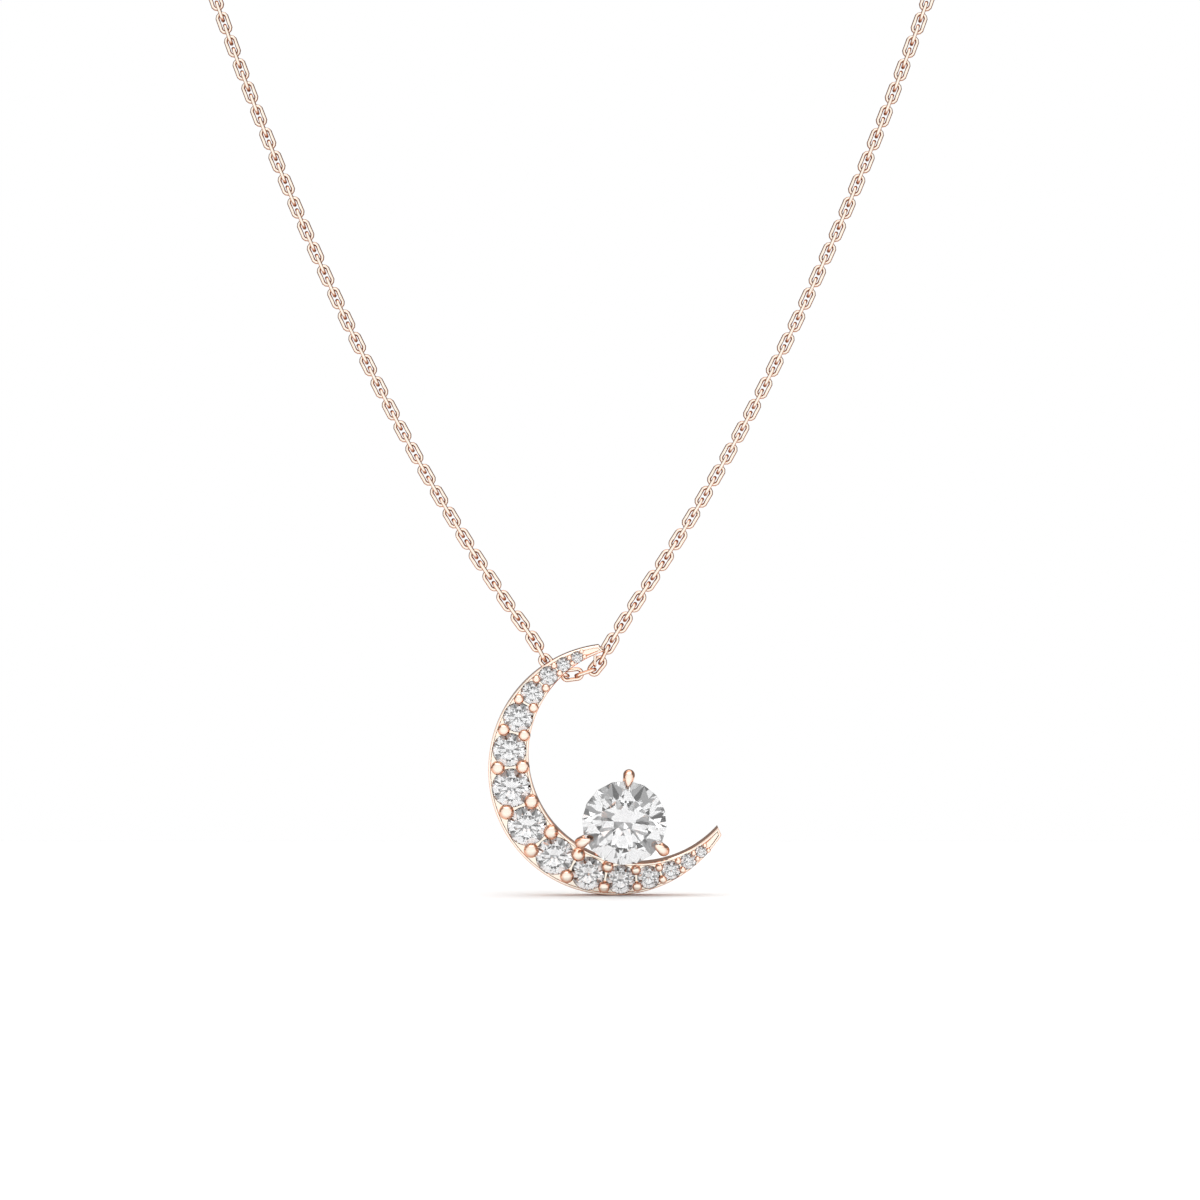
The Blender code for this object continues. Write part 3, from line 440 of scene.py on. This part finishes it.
def oneLink(name, around, sides):
    # a ring pulled apart into an oval with straight sides
    bend = (link["width"] - link["wire"]) / 2.0
    bpy.ops.mesh.primitive_torus_add(major_segments=around, minor_segments=sides,
                                     major_radius=bend, minor_radius=link["wire"] / 2.0)
    oval = bpy.context.object
    oval.name = name
    half = link["length"] / 2.0 - link["width"] / 2.0
    oval.rotation_euler.z = math.pi / around
    bpy.ops.object.transform_apply(location=False, rotation=True, scale=False)
    editTool.mesh_select_mode = (True, False, False)
    for side in (1.0, -1.0):
        for vertex in oval.data.vertices:
            vertex.select = vertex.co.x * side > 0.0
        for edge in oval.data.edges:
            edge.select = all(oval.data.vertices[v].select for v in edge.vertices)
        for face in oval.data.polygons:
            face.select = all(oval.data.vertices[v].select for v in face.vertices)
        bpy.ops.object.mode_set(mode="EDIT")
        bpy.ops.transform.translate(value=(half * side, 0.0, 0.0))
        bpy.ops.object.mode_set(mode="OBJECT")
    only(oval)
    bpy.ops.object.shade_smooth()
    return oval


def stations(side, ringMiddle, hold):
    # (number, distance along the path) of each link from the pendant to the ring at the nape
    path = paths[side]
    first = 0 if side == "right" else 1
    found = [(number, number * link["nearPitch"]) for number in range(first, link["nearCount"] + 1)]
    number, reached = found[-1]
    neck = distanceWhere(path, lambda point: point.z > 0.0)
    count = round((neck - link["pitch"] / 2.0 - reached) / link["pitch"])
    pitch = (neck - link["pitch"] / 2.0 - reached) / count
    found += [(number + step, reached + pitch * step) for step in range(1, count + 1)]
    number, reached = found[-1]
    last = distanceWhere(path, lambda point: (point - ringMiddle).length < hold)
    count = round((last - reached) / link["pitch"])
    if (number + count) % 2 == 0:      # the last link stands across its ring
        count += 1
    pitch = (last - reached) / count
    return found, [(number + step, reached + pitch * step) for step in range(1, count + 1)]


def laidLinks(side, ringMiddle, hold):
    # each link along its path, every other one turned a quarter round
    path = paths[side]
    front, nape = stations(side, ringMiddle, hold)
    groups = {"front": [], "nape": []}
    facing = Vector((0.0, -1.0, 0.0))
    for body, found in (("front", front), ("nape", nape)):
        for number, distance in found:
            point, way = along(path, distance)
            if (body, number) == ("nape", nape[-1][0]):
                way = (ringMiddle - point).normalized()
            facing = (facing - way * facing.dot(way)).normalized()
            turn = Matrix((way, facing.cross(way), facing)).transposed().to_4x4()
            if number % 2:
                turn = turn @ Matrix.Rotation(math.radians(90.0), 4, "X")
            plain = fineLink if number <= link["fineCount"] and body == "front" else coarseLink
            groups[body].append(copyOf(plain, Matrix.Translation(point) @ turn))
    return groups


claspRingMiddle = napeMiddle + Vector((rings["claspX"], 0.0, 0.0))
catchRingMiddle = napeMiddle + Vector((rings["catchX"], 0.0, 0.0))
fineLink = oneLink("fine_link", *link["fineFaces"])
coarseLink = oneLink("coarse_link", *link["coarseFaces"])
right = laidLinks("right", claspRingMiddle, link["claspHold"])
left = laidLinks("left", catchRingMiddle, link["catchHold"])
bpy.data.objects.remove(fineLink)
bpy.data.objects.remove(coarseLink)
chainNodes = {
    ("right", "front"): ("chain_front_right", "link_lowest", "link_right_edge", "link_in_tip_loop",
                         "link_right_last"),
    ("left", "front"): ("chain_front_left", "link_left_flat", "link_in_bail"),
    ("right", "nape"): ("chain_nape_right",), ("left", "nape"): ("chain_nape_left",),
}
for side, groups in (("right", right), ("left", left)):
    for body, group in groups.items():
        print("chain", side, body, len(group), "links")
        strand = joined(f"chain_{body}_{side}_links", group)
        dress(strand, chainGold, body, chainNodes[side, body])


# how the pendant hangs: drawn about the crescent's centre, its face at y = 0, then tilted on its bail

hang = {
    "centre": (3.24 * mm, -7.02 * mm), "bail": (-1.19 * mm, 0.47 * mm), "tipLoop": (1.80 * mm, 1.13 * mm),
    "tilt": 4.0, "bailWire": 0.24 * mm, "bailClearance": 0.07 * mm,
}
crescent = {
    "outerRadius": 9.61 * mm, "innerRadius": 8.32 * mm, "innerShift": 2.12 * mm, "opens": 33.1,
    "upperTip": 97.1, "lowerTip": 328.6, "tipLead": 1.7, "thickness": 1.70 * mm, "chamfer": 0.06 * mm,
    "rim": 0.10 * mm, "slope": 0.05 * mm, "channel": 0.07 * mm, "outerSteps": 180, "innerSteps": 150,
}
innerMiddle = onCircle(crescent["innerShift"], crescent["opens"])
bailBack = crescent["thickness"] + link["width"] / 2.0 + hang["bailClearance"] + hang["bailWire"] / 2.0
bailDrawn = Vector((hang["bail"][0] - hang["centre"][0], bailBack, hang["bail"][1] - hang["centre"][1]))
bailWorld = lowestLink + Vector((hang["bail"][0], 0.0, hang["bail"][1]))
swing = Vector((hang["tipLoop"][0] - hang["bail"][0], 0.0, hang["tipLoop"][1] - hang["bail"][1])).normalized()
onPendant = (Matrix.Translation(bailWorld) @ Matrix.Rotation(math.radians(hang["tilt"]), 4, swing)
             @ Matrix.Translation(-bailDrawn))


# the row of stones, edge to edge along an arc

row = {
    "centre": (0.875 * mm, 0.515 * mm), "radius": 8.92 * mm, "start": 114.6, "gap": 0.17 * mm,
    "sizes": [size * mm for size in (0.90, 1.10, 1.45, 1.75, 2.25, 2.55, 2.95, 3.00,
                                     2.90, 2.55, 2.20, 1.75, 1.45, 1.20, 0.90)],
    "girdleDepth": 0.12 * mm, "halfGirdle": 0.0125, "pavilion": 40.8,
    "seatClearance": 0.02 * mm, "seatSides": 40, "cutterReach": 1.0 * mm,
    "window": 0.24, "windowFrom": 2.0 * mm, "blindPoint": 0.02 * mm,    # smaller stones sit in blind seats
    "beadShare": 0.39, "beadReach": 0.34, "beadStand": 0.10 * mm, "endBead": 24.0, "beadFaces": (24, 14),
}
stonePlaces = []
angle = row["start"]
for index, size in enumerate(row["sizes"]):
    if index:
        chord = (size + row["sizes"][index - 1]) / 2.0 + row["gap"]
        angle += math.degrees(2.0 * math.asin(chord / 2.0 / row["radius"]))
    stonePlaces.append(onCircle(row["radius"], angle, row["centre"]))

stoneAxis = (onPendant.to_3x3() @ Vector((0.0, -1.0, 0.0))).normalized()
diamond = {
    "ior": 2.417, "axis": stoneAxis, "body": (0.93, 0.933, 0.94), "girdle": (0.90, 0.90, 0.92),
    "girdleLean": 0.3, "girdleSoft": 0.1, "grainScale": 12000.0, "frost": 0.25, "grainShare": 0.2,
}
rowStone = cutStone("row_diamond", diamond)
largeStone = cutStone("centre_diamond", diamond)
for name, node in nodes.items():
    if name.startswith("pave_stone") or name == "centre_stone":
        coat(node, largeStone if name == "centre_stone" else rowStone)


# the crescent: a plate with raised rims, a sunk channel, a seat for each stone and beads over their edges

def crescentOutline():
    # the inner arc's corners run on a little past the outer one's
    outer = arc(crescent["outerRadius"], crescent["upperTip"], crescent["lowerTip"], crescent["outerSteps"])
    ends = []
    for tip, lead in ((outer[-1], crescent["tipLead"]), (outer[0], -crescent["tipLead"])):
        towards = tip - innerMiddle
        ends.append((math.degrees(math.atan2(towards.y, towards.x)) + lead) % 360.0)
    return outer + arc(crescent["innerRadius"], ends[0], ends[1], crescent["innerSteps"], innerMiddle)


def seatCutter(size, place):
    # open in front, then a slope under the stone, and a window behind a large one
    steepness = math.tan(math.radians(row["pavilion"]))
    rim = size / 2.0 + row["seatClearance"]
    start = row["girdleDepth"] + row["seatClearance"] + row["halfGirdle"] * size
    slope = min((rim - size * row["window"]) * steepness, crescent["thickness"] - start)
    window = rim - slope / steepness
    if size < row["windowFrom"]:
        window, slope = row["blindPoint"], (rim - row["blindPoint"]) * steepness
    bpy.ops.mesh.primitive_circle_add(vertices=row["seatSides"], radius=rim, fill_type="NGON",
                                      location=(place.x, -row["cutterReach"], place.y),
                                      rotation=(math.radians(90.0), 0.0, 0.0))
    cutter = bpy.context.object
    bpy.ops.object.transform_apply(location=True, rotation=True, scale=True)
    bpy.ops.object.mode_set(mode="EDIT")
    bpy.ops.mesh.select_all(action="SELECT")
    bpy.ops.mesh.extrude_region_move(TRANSFORM_OT_translate={"value": (0.0, row["cutterReach"] + start, 0.0)})
    bpy.ops.mesh.extrude_region_move(TRANSFORM_OT_translate={"value": (0.0, slope, 0.0)})
    share = window / rim
    bpy.ops.transform.resize(value=(share, 1.0, share), center_override=(place.x, start + slope, place.y))
    if size >= row["windowFrom"]:
        bpy.ops.mesh.extrude_region_move(TRANSFORM_OT_translate={"value": (0.0, crescent["thickness"], 0.0)})
    bpy.ops.mesh.select_all(action="SELECT")
    bpy.ops.mesh.normals_make_consistent(inside=False)
    bpy.ops.object.mode_set(mode="OBJECT")
    return cutter


def beadPlaces():
    # two beads in each gap, where circles round the two stones cross, and one pair past each end
    found = []
    sizes = row["sizes"]
    for index in range(len(sizes) - 1):
        sizeA, sizeB, a, b = sizes[index], sizes[index + 1], stonePlaces[index], stonePlaces[index + 1]
        bead = row["beadShare"] * (sizeA + sizeB) / 2.0
        reachA, reachB = sizeA / 2.0 + row["beadReach"] * bead, sizeB / 2.0 + row["beadReach"] * bead
        gap = (b - a).length
        forward = (gap ** 2 + reachA ** 2 - reachB ** 2) / (2.0 * gap)
        sideways = math.sqrt(reachA ** 2 - forward ** 2)
        way = (b - a) / gap
        for side in (1.0, -1.0):
            found.append((a + way * forward + Vector((-way.y, way.x)) * sideways * side, bead))
    for stone, place, neighbour in ((sizes[0], stonePlaces[0], stonePlaces[1]),
                                    (sizes[-1], stonePlaces[-1], stonePlaces[-2])):
        bead = row["beadShare"] * stone
        onward = math.degrees(math.atan2(*(place - neighbour).yx))
        for side in (row["endBead"], -row["endBead"]):
            found.append((onCircle(stone / 2.0 + row["beadReach"] * bead, onward + side, place), bead))
    return found


band = flatPlate("crescent_band", crescentOutline(), crescent["thickness"], crescent["chamfer"])
editTool.mesh_select_mode = (False, False, True)
for face in band.data.polygons:
    face.select = face.normal.y < -0.99 and abs(face.center.y) < 0.01 * mm
only(band)
bpy.ops.object.mode_set(mode="EDIT")
bpy.ops.mesh.dissolve_faces()
bpy.ops.mesh.inset(thickness=crescent["rim"], depth=0.0)
bpy.ops.mesh.inset(thickness=crescent["slope"], depth=-crescent["channel"])
bpy.ops.object.mode_set(mode="OBJECT")
seats = joined("seats", [seatCutter(size, place) for size, place in zip(row["sizes"], stonePlaces)])
applied(band, "BOOLEAN", object=seats, operation="DIFFERENCE", solver="MANIFOLD")
bpy.data.objects.remove(seats)
settle(band, onPendant)
smooth(band, 30.0)
dress(band, pendantGold, "pendant", ("crescent_frame",))

segments, levels = row["beadFaces"]
bpy.ops.mesh.primitive_uv_sphere_add(segments=segments, ring_count=levels, radius=0.5 * mm,
                                     rotation=(math.radians(90.0), 0.0, 0.0))
roundBead = settle(bpy.context.object)
bpy.ops.object.shade_smooth()
beads = []
for spot, size in beadPlaces():
    place = Matrix.Translation((spot.x, -row["beadStand"], spot.y)) @ Matrix.Scale(size / mm, 4)
    beads.append(copyOf(roundBead, onPendant @ place))
bpy.data.objects.remove(roundBead)
dress(joined("crescent_beads", beads), pendantGold, "pendant")
print("crescent and", len(beads), "beads")


# the head that holds the centre stone

head = {
    "place": (0.75 * mm, -3.91 * mm),
    "claws": {"top": 84.5, "left": 204.5, "right": 325.0},
    # (radius, depth in front of the face, half thickness), in millimetres, from foot to tip
    "clawRoute": [(1.198, -1.176, 0.25), (1.505, -0.919, 0.31), (2.10, -0.42, 0.34), (2.75, 0.14, 0.38),
                  (3.38, 0.69, 0.42), (3.60, 0.90, 0.44), (3.68, 1.10, 0.45), (3.68, 1.28, 0.46),
                  (3.63, 1.44, 0.45), (3.52, 1.57, 0.42), (3.38, 1.66, 0.37), (3.22, 1.71, 0.30),
                  (3.06, 1.74, 0.22), (2.92, 1.76, 0.13), (2.83, 1.78, 0.05)],
    "ring": 1.02 * mm, "ringWire": 0.55 * mm, "ringSink": 0.10 * mm, "ringFaces": (64, 20),
    "bridge": 0.75 * mm, "barSink": 0.10 * mm, "bridges": {"left": 236.0, "right": 285.0},
    # (share of the bar's length, share of its thickness)
    "barWaist": [(0.0, 1.15), (0.12, 1.0), (0.5, 0.92), (0.88, 1.0), (1.0, 1.12)],
}
headMiddle = Vector((head["place"][0], 0.0, head["place"][1]))


def outwards(degrees, y=0.0):
    # local X points away from the stone's axis and local Z out of the face
    turn = math.radians(degrees)
    side = Vector((math.cos(turn), 0.0, math.sin(turn)))
    front = Vector((0.0, -1.0, 0.0))
    axes = Matrix((side, front.cross(side), front)).transposed().to_4x4()
    return Matrix.Translation(headMiddle + Vector((0.0, y, 0.0))) @ axes


claw = sweptBar("claw", [(r * mm, z * mm, half * mm) for r, z, half in head["clawRoute"]], 16)
settle(claw)
applied(claw, "SUBSURF", levels=1, render_levels=1)
bpy.ops.object.shade_smooth()
for name, degrees in head["claws"].items():
    arm = settle(copyOf(claw), onPendant @ outwards(degrees))
    arm.name = f"claw_{name}"
    dress(arm, pendantGold, "pendant", (f"prong_{name}",))
bpy.data.objects.remove(claw)

ringY = crescent["thickness"] - head["ringWire"] / 2.0 - head["ringSink"]
around, sides = head["ringFaces"]
bpy.ops.mesh.primitive_torus_add(major_segments=around, minor_segments=sides, major_radius=head["ring"],
                                 minor_radius=head["ringWire"] / 2.0, rotation=(math.radians(90.0), 0.0, 0.0),
                                 location=headMiddle + Vector((0.0, ringY, 0.0)))
headRing = settle(bpy.context.object, onPendant)
headRing.name = "head_ring"
bpy.ops.object.shade_smooth()
dress(headRing, pendantGold, "pendant", ("base_ring",))

offset = Vector(head["place"]) - innerMiddle
for name, degrees in head["bridges"].items():
    # a bar runs from the head ring to the crescent's inner wall, a little into each
    way = onCircle(1.0, degrees)
    across = offset.dot(way) ** 2 - offset.length_squared
    wall = -offset.dot(way) + math.sqrt(across + crescent["innerRadius"] ** 2)
    start, end = head["ring"] + head["ringWire"] / 2.0 - head["barSink"], wall + head["barSink"]
    half = head["bridge"] / 2.0
    bar = sweptBar(f"head_bar_{name}", [(start + (end - start) * share, 0.0, half * size)
                                        for share, size in head["barWaist"]])
    settle(bar, onPendant @ outwards(degrees, ringY))
    smooth(bar, 40.0)
    dress(bar, pendantGold, "pendant", (f"head_bridge_{name}",))
for name in ("hidden_bail", "tip_loop"):
    coat(nodes[name], pendantGold)
print("head and claws")


# the clasp, its rings and the tag

polish = {"body": 0.10 * mm, "trigger": 0.06 * mm, "tag": 0.06 * mm, "flat": 2.0, "corner": 32.0}


def softened(name, node, width):
    # a copy of a plain part with its corners rounded by polishing
    piece = copyOf(nodes[node])
    piece.name = name
    settle(piece)
    applied(piece, "DECIMATE", decimate_type="DISSOLVE", angle_limit=math.radians(polish["flat"]))
    applied(piece, "BEVEL", width=width, segments=2, limit_method="ANGLE",
            angle_limit=math.radians(polish["corner"]), use_clamp_overlap=True)
    smooth(piece, polish["corner"])
    applied(piece, "WEIGHTED_NORMAL", keep_sharp=True)
    return piece


shell = softened("clasp_shell", "clasp_body", polish["body"])
dress(shell, claspGold, "clasp", ("clasp_body",))
lever = softened("clasp_lever", "clasp_trigger", polish["trigger"])
dress(lever, claspGold, "trigger", ("clasp_trigger",))
dress(softened("plain_tag", "tag", polish["tag"]), tagGold, "tag", ("tag",))
steel = springSteel("spring_steel", steelLook)
for name in ("clasp_pin", "clasp_spring"):
    coat(nodes[name], steel)


def jumpRing(name, radius, wire, middle, seam):
    # a wire disc spun round, short of a full turn by the seam's gap
    bpy.ops.mesh.primitive_circle_add(vertices=16, radius=wire / 2.0, fill_type="NGON",
                                      location=(radius, 0.0, 0.0), rotation=(math.radians(90.0), 0.0, 0.0))
    ring = bpy.context.object
    ring.name = name
    bpy.ops.object.transform_apply(location=True, rotation=True, scale=True)
    bpy.ops.object.mode_set(mode="EDIT")
    bpy.ops.mesh.select_all(action="SELECT")
    bpy.ops.mesh.spin(steps=56, angle=math.radians(360.0 - rings["gap"]),
                      center=(0.0, 0.0, 0.0), axis=(0.0, 0.0, 1.0))
    bpy.ops.object.mode_set(mode="OBJECT")
    settle(ring, Matrix.Translation(middle) @ Matrix.Rotation(math.radians(seam), 4, "Z"))
    smooth(ring, 40.0)
    return ring


claspRing = jumpRing("clasp_jump_ring", rings["claspRadius"], rings["claspWire"], claspRingMiddle,
                     rings["claspSeam"])
dress(claspRing, claspGold, "nape", ("clasp_ring",))
catchRing = jumpRing("catch_jump_ring", rings["catchRadius"], rings["catchWire"], catchRingMiddle,
                     rings["catchSeam"])
dress(catchRing, claspGold, "nape", ("catch_ring",))
print("clasp, rings and tag")


# floor, light and camera

studio = {
    "floorDrop": 0.03 * mm, "floorSize": 0.72, "floorMiddle": -0.29,
    "floorWhite": (0.95, 0.95, 0.95), "fibreScale": 900.0, "floorRough": 0.8, "fibreShare": 0.1,
    "visible": 1.0,      # how bright the room itself shows behind the floor
    # what metal and floor see: pale in front and at the sides, dark behind, and a wide lamp overhead
    "metal": {
        "front": 1.08, "back": 0.27, "edge": -0.16, "soft": 0.14,
        # (direction, radius in degrees, soft edge, added light) of each soft box
        "boxes": [((0.0, 0.15, 1.0), 34.0, 0.06, 1.50), ((0.0, 0.75, -0.66), 30.0, 0.05, 0.50)],
        # (direction, radius, soft edge, share of the light taken away) of each dark card
        "cards": [((-0.80, 0.10, 0.60), 13.0, 0.02, 0.6), ((0.80, 0.10, 0.60), 13.0, 0.02, 0.6)],
    },
    # what shows through the stones: a duller room with dark cards round the camera
    "stones": {
        "front": 0.34, "back": 0.20, "edge": 0.0, "soft": 0.5,
        "boxes": [((0.0, 0.15, 1.0), 34.0, 0.06, 1.3), ((0.0, -0.62, 0.78), 16.0, 0.02, 1.5),
                  ((-0.85, -0.45, 0.28), 10.0, 0.01, 1.6), ((0.85, -0.45, 0.28), 10.0, 0.01, 1.6)],
        "cards": [((0.0, -1.0, 0.02), 15.0, 0.004, 0.99), ((-0.42, -0.85, 0.42), 9.0, 0.005, 0.98),
                  ((0.42, -0.85, 0.42), 9.0, 0.005, 0.98)],
    },
    "cameraDistance": 250.0 * mm, "frameWidth": 92.3 * mm, "frameMiddle": (2.19 * mm, -123.53 * mm),
    "eye": -127.8 * mm, "sensor": 36.0, "clipStart": 0.005,
}
lowest = min((onPendant @ Vector((x, y, z))).z for y in (0.0, crescent["thickness"])
             for x, z in arc(crescent["outerRadius"], 180.0, 360.0, 360))
bpy.ops.mesh.primitive_plane_add(size=studio["floorSize"],
                                 location=(0.0, studio["floorMiddle"], lowest - studio["floorDrop"]))
floor = settle(bpy.context.object)
floor.name = "floor"
paper, shader, start = newFinish("pale_floor")
shader.inputs["Specular IOR Level"].default_value = 0.0
place = start.add("TexCoord", out="Object")
fibre = place.add("TexNoise", {}, {"Vector": place, "Scale": studio["fibreScale"], "Detail": 3.0})
shader.inputs["Base Color"].default_value = (*studio["floorWhite"], 1.0)
feed(shader, paper.node_tree, Roughness=studio["floorRough"] + fibre * studio["fibreShare"])
floor.data.materials.append(paper)

world = bpy.data.worlds.new("soft_studio")
bpy.context.scene.world = world
world.use_nodes = True
world.node_tree.nodes.clear()
sky = Sock(world.node_tree)
ray = sky.add("TexCoord", out="Generated")
towardsViewer = 0.0 - ray.add("SeparateXYZ", {}, {0: ray}, out=1)


def patch(direction, radius, soft):
    # 1 inside a round patch of the surroundings
    towards = Vector(direction).normalized()
    near = ray.add("VectorMath", {"operation": "DOT_PRODUCT"}, {0: ray, 1: towards}, out="Value")
    return near.above(math.cos(math.radians(radius)), soft)


def surroundings(look):
    # a bright front and a dark back, soft boxes added and dark cards taken away
    glow = look["back"] + towardsViewer.above(look["edge"], look["soft"]) * (look["front"] - look["back"])
    for direction, radius, soft, light in look["boxes"]:
        glow = glow + patch(direction, radius, soft) * light
    for direction, radius, soft, share in look["cards"]:
        glow = glow * (1.0 - patch(direction, radius, soft) * share)
    return glow


seen = sky.add("LightPath", out="Is Camera Ray")
through = sky.add("LightPath", out="Is Transmission Ray")
room = surroundings(studio["metal"]) * (1.0 - through) + surroundings(studio["stones"]) * through
strength = room * (1.0 - seen) + seen * studio["visible"]
shine = sky.add("Background", {}, {"Color": (1.0, 1.0, 1.0, 1.0), "Strength": strength})
output = world.node_tree.nodes.new("ShaderNodeOutputWorld")
world.node_tree.links.new(shine.socket, output.inputs["Surface"])

camera = bpy.data.cameras.new("camera")
cameraObject = bpy.data.objects.new("camera", camera)
bpy.context.scene.collection.objects.link(cameraObject)
eye = Vector((studio["frameMiddle"][0], -studio["cameraDistance"], studio["eye"]))
target = Vector((studio["frameMiddle"][0], 0.0, studio["frameMiddle"][1]))
cameraObject.location = eye
cameraObject.rotation_euler = (target - eye).to_track_quat("-Z", "Y").to_euler()
camera.sensor_width = studio["sensor"]
camera.lens = camera.sensor_width * studio["cameraDistance"] / studio["frameWidth"]
camera.clip_start = studio["clipStart"]
bpy.context.scene.camera = cameraObject
bpy.context.scene.view_settings.view_transform = "Standard"
bpy.context.scene.view_settings.look = "None"

print("scene ready")
